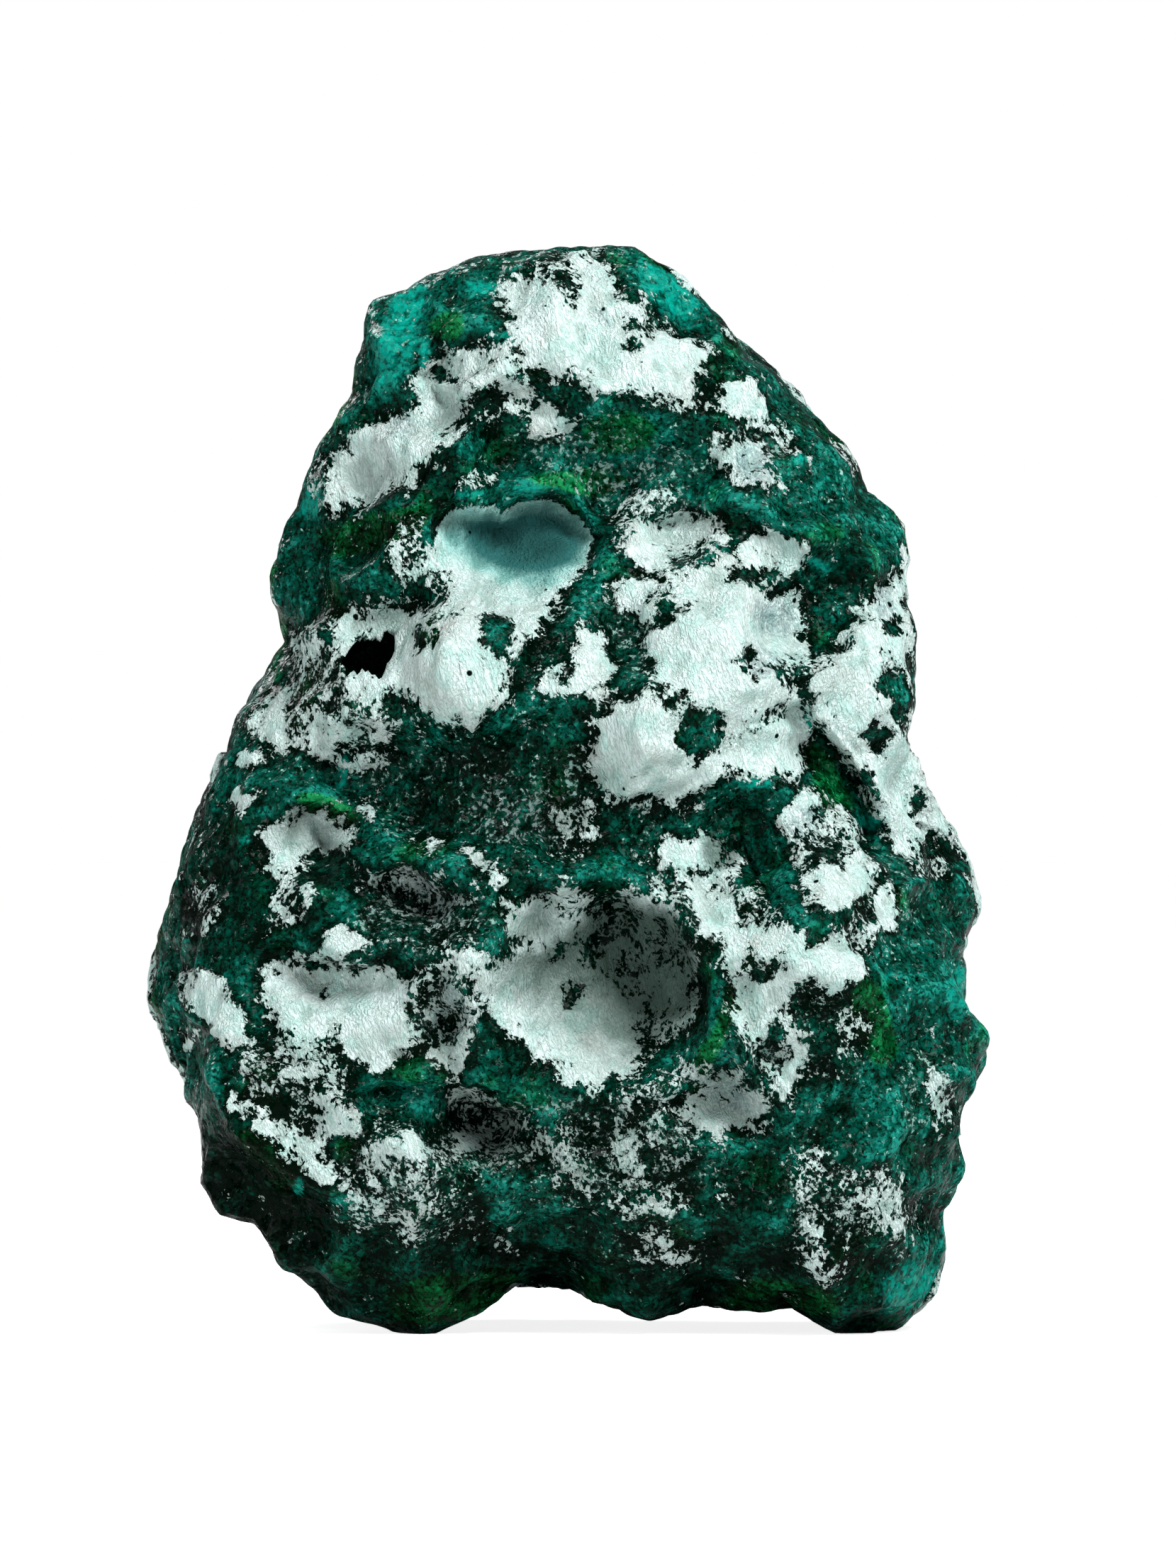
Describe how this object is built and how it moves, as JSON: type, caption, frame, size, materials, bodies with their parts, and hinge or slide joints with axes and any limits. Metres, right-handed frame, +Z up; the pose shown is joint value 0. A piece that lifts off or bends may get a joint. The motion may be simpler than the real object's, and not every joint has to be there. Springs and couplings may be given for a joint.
{
  "type": "dioptase specimen",
  "caption": "Rough, broken hand specimen of granular green dioptase with hollows, ledges and a pale crust, standing on its own uneven base.",
  "frame": {"origin": "under the middle of the stone's width and depth, on the surface it stands on", "axes": "+Z up, -Y out of the crusted face that the picture shows, +X to that face's right"},
  "size_m": [0.0588, 0.0442, 0.0763],
  "materials": {
    "dioptase": "granular emerald green, glossy on broken faces, with patches of a dull white crust; not see-through"
  },
  "bodies": {
    "root": {"dioptase_stone": "dioptase"}
  },
  "joints": []
}
